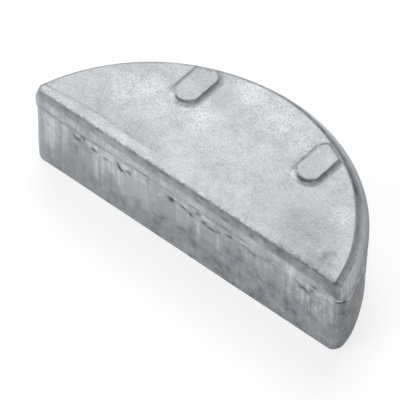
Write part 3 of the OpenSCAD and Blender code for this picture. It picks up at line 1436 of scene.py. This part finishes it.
@dataclass(frozen=True)
class CastMetalFinish:
    """Dull as-cast light metal: pale, cloudy and grained, with paler and darker marks of its own
    and painted light and shade.

    Each noise is given by its cells a metre, its finer layers, their strength and, for the
    upright lines, its scale along Z. The lip lines are a painted shadow under the lip and a
    painted highlight on it, each given by its level, half width, grey and strength.
    """

    skin: Triple = (0.583, 0.605, 0.630)
    drawn_skin: Triple = (0.560, 0.600, 0.640)
    # Paler tone: the casting's own paler marks, and painted highlights and light
    worn_and_lit: Triple = (0.875, 0.895, 0.920)
    # Darker tone: the casting's own darker marks, and painted shade
    soiled_and_shaded: Triple = (0.098, 0.108, 0.132)
    stained: Triple = (0.54, 0.49, 0.41)
    cloud_noise: Triple = (420.0, 2.0, 0.5)
    mottle_noise: Triple = (1900.0, 3.0, 0.6)
    fine_noise: Triple = (9500.0, 3.0, 0.75)
    drawn_noise: tuple = (5200.0, 3.0, 0.6, 0.07)
    lip_noise: Triple = (900.0, 2.0, 0.5)
    cloud: float = 0.12
    mottle: float = 0.13
    speckle: float = 0.32
    drawn: float = 0.1
    smooth_grain: float = 0.3
    ragged: float = 1.6
    metallic: float = 0.27
    roughness: float = 0.46
    roughness_spread: float = 0.1
    mottle_pocks: float = 0.8
    pock_depth: float = 0.00004
    pock_strength: float = 0.7
    lip_waver: float = 0.02
    # A painted shadow under the parting line's lip, then a painted highlight on it
    lip_shadow_and_highlight: tuple = ((0.39, 0.06, 0.05, 0.8), (0.56, 0.06, 0.95, 1.0))

    def material(self) -> bpy.types.Material:
        """Builds the node material.

        Returns:
            The material.
        """
        bench = MaterialBench("as_cast_metal")
        bench.shader.inputs["Metallic"].default_value = self.metallic
        mottles = bench.noise(*self.mottle_noise)
        fine = bench.noise(*self.fine_noise)
        drawn = bench.noise(*self.drawn_noise)
        smooth = bench.trait(Trait.SMOOTH)
        rougher = bench.ramp(smooth, (0.0, 1.0), (1.0, self.smooth_grain))
        tone = self.swing(bench, bench.noise(*self.cloud_noise), self.cloud, 1.0)
        tone = bench.math("ADD", tone, self.swing(bench, mottles, self.mottle))
        speckled = bench.math("MULTIPLY", self.swing(bench, fine, self.speckle), rougher)
        tone = bench.math("ADD", tone, speckled)
        lined = bench.math("MULTIPLY", self.swing(bench, drawn, self.drawn), smooth)
        tone = bench.math("ADD", tone, lined)
        colour = bench.blend(
            smooth, bench.tinted(self.skin, tone), bench.tinted(self.drawn_skin, tone)
        )
        wear_and_light_grain = bench.between(smooth, fine, drawn)
        # Stains, then paler marks with painted light, then darker marks with painted shade
        for trait, pattern, shade in (
            (Trait.STAIN, fine, self.stained),
            (Trait.WEAR_AND_LIGHT, wear_and_light_grain, self.worn_and_lit),
            (Trait.GRIME_AND_SHADE, mottles, self.soiled_and_shaded),
        ):
            share = self.ragged_share(bench, trait, pattern)
            colour = bench.blend(share, colour, bench.tinted(shade, tone))
        colour = self.paint_lip_shadow_and_highlight(bench, colour)
        roughness = self.swing(bench, fine, self.roughness_spread, self.roughness)
        height = bench.math("ADD", bench.math("MULTIPLY", mottles, self.mottle_pocks), fine)
        height = bench.math("MULTIPLY", height, rougher)
        normal = bench.bump(height, self.pock_depth, self.pock_strength)
        inputs = {"Base Color": colour, "Roughness": roughness, "Normal": normal}
        bench.fill(bench.shader, inputs)
        return bench.material

    def swing(
        self, bench: MaterialBench, pattern: Socket, strength: float, middle: float = 0.0
    ) -> Socket:
        """Makes a noise pattern swing both ways around a middle value."""
        return bench.ramp(pattern, NOISE_SPAN, (middle - strength, middle + strength))

    def paint_lip_shadow_and_highlight(self, bench: MaterialBench, colour: Socket) -> Socket:
        """Paints a highlight on the thin lip of the parting line, and a shadow under it.

        Args:
            bench: The material's bench.
            colour: The skin's colour so far.

        Returns:
            The colour with the painted highlight and shadow.
        """
        waver = self.swing(bench, bench.noise(*self.lip_noise), self.lip_waver)
        level = bench.math("ADD", bench.trait(Trait.LEVEL), waver)
        for middle, half, tone, strength in self.lip_shadow_and_highlight:
            away = bench.math("ABSOLUTE", bench.math("SUBTRACT", level, middle), 0.0)
            line = bench.ramp(away, (half * 0.5, half * 1.5), (strength, 0.0))
            share = bench.math("MULTIPLY", line, bench.trait(Trait.LIP_LIGHT_AND_SHADOW))
            colour = bench.blend(share, colour, bench.grey(tone))
        return colour

    def ragged_share(self, bench: MaterialBench, trait: Trait, pattern: Socket) -> Socket:
        """Breaks up the half-way stretches of a surface value by a fine pattern.

        Args:
            bench: The material's bench.
            trait: The surface value.
            pattern: A noise pattern from 0 to 1.

        Returns:
            The broken-up share, from 0 to 1.
        """
        share = bench.trait(trait)
        rest = bench.ramp(share, (0.0, 1.0), (1.0, 0.0))
        half_way = bench.math("MULTIPLY", share, rest)
        swung = bench.math("MULTIPLY", half_way, self.swing(bench, pattern, self.ragged))
        broken = bench.math("ADD", share, swung)
        return bench.ramp(broken, (0.0, 1.0), (0.0, 1.0))


# Studio


@dataclass(frozen=True)
class Lamp:
    """A square lamp that faces the key.

    Attributes:
        name: Its name.
        place: Where it hangs, in metres.
        size: Length of its side.
        power: Its power in watts.
    """

    name: str
    place: Triple
    size: float
    power: float

    def hang(self) -> None:
        """Adds the lamp to the scene."""
        data = bpy.data.lights.new(self.name, "AREA")
        data.size = self.size
        data.energy = self.power
        lamp = bpy.data.objects.new(self.name, data)
        bpy.context.scene.collection.objects.link(lamp)
        lamp.location = self.place
        lamp.rotation_euler = (-Vector(self.place)).to_track_quat("-Z", "Y").to_euler()


@dataclass(frozen=True)
class Studio:
    """Pale floor, soft light and the camera, in metres; the camera's aim is in millimetres.

    The floor has one grey for the light that it throws back, and another, with a glow, as
    it is seen.
    """

    azimuth: float = 40.84
    elevation: float = 49.38
    distance: float = 0.2825
    lens: float = 556.5
    aim: Triple = (-0.640, -1.940, 1.513)
    floor_size: float = 4.0
    floor_bounce: float = 0.6
    floor_seen: float = 0.35
    floor_glow: float = 0.77
    room_bright: float = 0.55
    room_dim: float = 0.02
    dim_side: Triple = (0.75, 0.6, 0.28)
    lamps: tuple[Lamp, ...] = (
        Lamp("overhead", (-0.20, 0.26, 0.40), 0.35, 1.54),
        Lamp("front", (-0.20, -0.36, 0.27), 0.25, 0.48),
    )

    def build(self) -> None:
        """Sets the stage."""
        self.camera()
        self.floor()
        self.world()
        for lamp in self.lamps:
            lamp.hang()
        bpy.context.scene.view_settings.view_transform = "Standard"

    def camera(self) -> None:
        """Places the camera on its line through the aim point."""
        turn = math.radians(self.azimuth)
        rise = math.radians(self.elevation)
        level = math.cos(rise)
        back = Vector((math.sin(turn) * level, -math.cos(turn) * level, math.sin(rise)))
        data = bpy.data.cameras.new("studio_camera")
        data.lens = self.lens
        data.sensor_width = 36.0
        data.clip_start = 0.01
        data.clip_end = 20.0
        camera = bpy.data.objects.new("studio_camera", data)
        bpy.context.scene.collection.objects.link(camera)
        camera.location = Vector(self.aim) * MM + back * self.distance
        camera.rotation_euler = (-back).to_track_quat("-Z", "Y").to_euler()
        bpy.context.scene.camera = camera

    def floor(self) -> None:
        """A pale floor, seen white, that keeps the key's soft shadow."""
        deselect_all()
        bpy.ops.mesh.primitive_plane_add(size=self.floor_size)
        floor = bpy.context.object
        floor.name = "studio_floor"
        bench = MaterialBench("pale_floor")
        bounce = self.diffuse(bench, self.floor_bounce)
        matt = self.diffuse(bench, self.floor_seen)
        glow = bench.node("Emission", {"Strength": self.floor_glow}).outputs[0]
        seen = bench.node("AddShader", {0: matt, 1: glow}).outputs[0]
        pick = bench.node("MixShader", {0: self.seen_rays(bench), 1: bounce, 2: seen})
        bench.link(pick.outputs[0], bench.tree.nodes["Material Output"].inputs["Surface"])
        floor.data.materials.append(bench.material)

    def diffuse(self, bench: NodeBench, brightness: float) -> Socket:
        """Adds a plain matt grey shader."""
        colour = (brightness, brightness, brightness, 1)
        return bench.node("BsdfDiffuse", {"Color": colour}).outputs[0]

    def seen_rays(self, bench: NodeBench) -> Socket:
        """Says 1 for what is seen, directly or in a reflection, and 0 for other light.

        Args:
            bench: The bench of the tree that asks.

        Returns:
            The 1 or 0.
        """
        path = bench.node("LightPath")
        total = path.outputs["Is Camera Ray"]
        for name in ("Is Glossy Ray", "Is Transmission Ray"):
            total = bench.math("MAXIMUM", total, path.outputs[name])
        return total

    def world(self) -> None:
        """A soft room that is dimmer behind on the right, and is seen white."""
        world = bpy.data.worlds.new("studio_room")
        bpy.context.scene.world = world
        world.use_nodes = True
        bench = NodeBench(world.node_tree)
        way = bench.node("TexCoord").outputs["Generated"]
        side = bench.node("VectorMath", {0: way, 1: self.dim_side}, "DOT_PRODUCT")
        room = bench.ramp(side.outputs["Value"], (-1.0, 1.0), (self.room_bright, self.room_dim))
        seen = bench.node("LightPath").outputs["Is Camera Ray"]
        strength = bench.ramp(seen, (0.0, 1.0), (room, 1.0))
        background = bench.tree.nodes["Background"]
        bench.fill(background, {"Color": (1, 1, 1, 1), "Strength": strength})


def plain(vector: Vector) -> list[float]:
    """A point as a plain list."""
    return [round(value, 7) for value in vector]


def main() -> None:
    """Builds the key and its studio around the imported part."""
    logging.basicConfig(level=logging.INFO, format="%(name)s: %(message)s")
    deselect_all()
    low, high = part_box(NODE)
    box = (Vector(low) / MM, Vector(high) / MM)
    key = KeyCasting(*box, casting_marks(), drag_streaks(), cloudy_patches())
    casting = key.build()
    casting.data.materials.clear()
    casting.data.materials.append(CastMetalFinish().material())
    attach(casting, "root")
    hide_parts(NODE)
    log.info("%s: %d faces", casting.name, len(casting.data.polygons))
    Studio().build()


if __name__ == "__main__":
    main()
